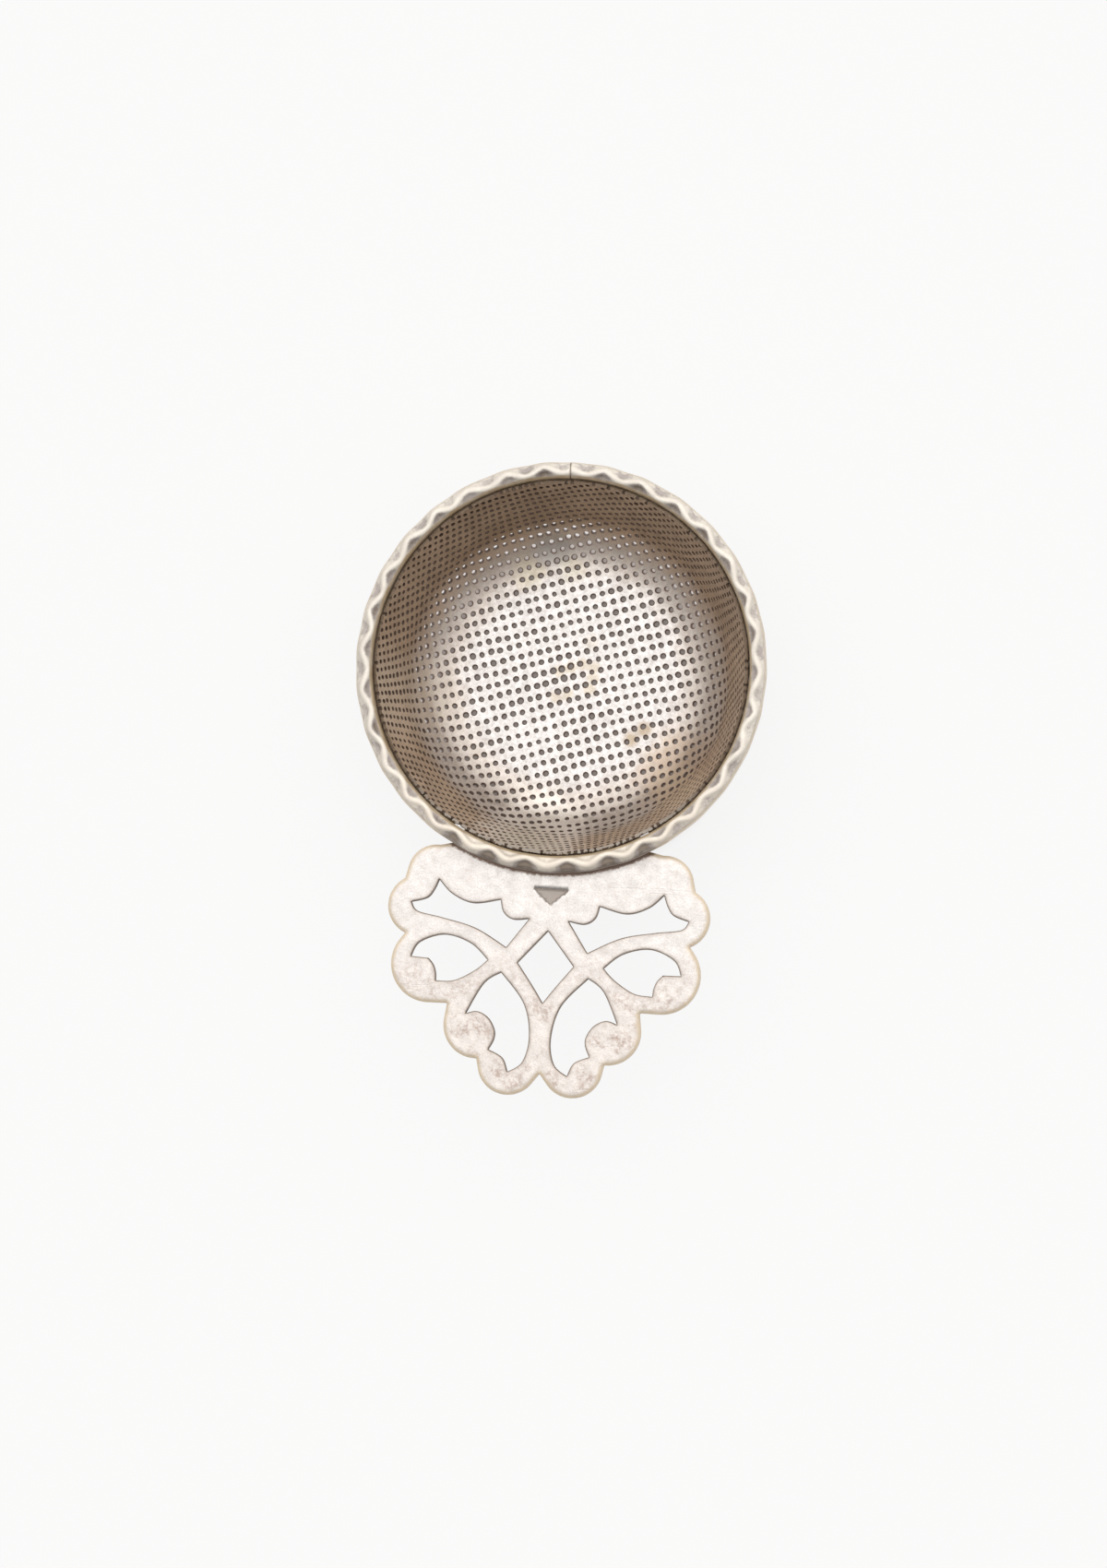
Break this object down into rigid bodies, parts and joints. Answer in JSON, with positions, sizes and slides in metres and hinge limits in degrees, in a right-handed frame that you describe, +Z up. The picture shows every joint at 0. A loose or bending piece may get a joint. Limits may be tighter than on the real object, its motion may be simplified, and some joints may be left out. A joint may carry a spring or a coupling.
{
  "type": "tea strainer",
  "caption": "Silver tea strainer with a perforated flat-bottomed bowl, a serpentine border wire and one flat pierced scroll handle.",
  "frame": {"origin": "centre of the bowl's flat resting face, on its underside", "axes": "+Z up through the bowl's mouth; the handle points along -Y; +X to the right seen from above with the handle towards the viewer"},
  "size_m": [0.0681, 0.1043, 0.0214],
  "materials": {
    "bowl_silver": "satin",
    "cast_silver": "satin",
    "solder": "matte"
  },
  "bodies": {
    "root": {"strainer_bowl": "bowl_silver", "rim_wire": "cast_silver", "rim_seam_solder": "solder", "handle": "cast_silver", "rim_solder": "solder", "handle_solder": "solder"}
  },
  "joints": []
}
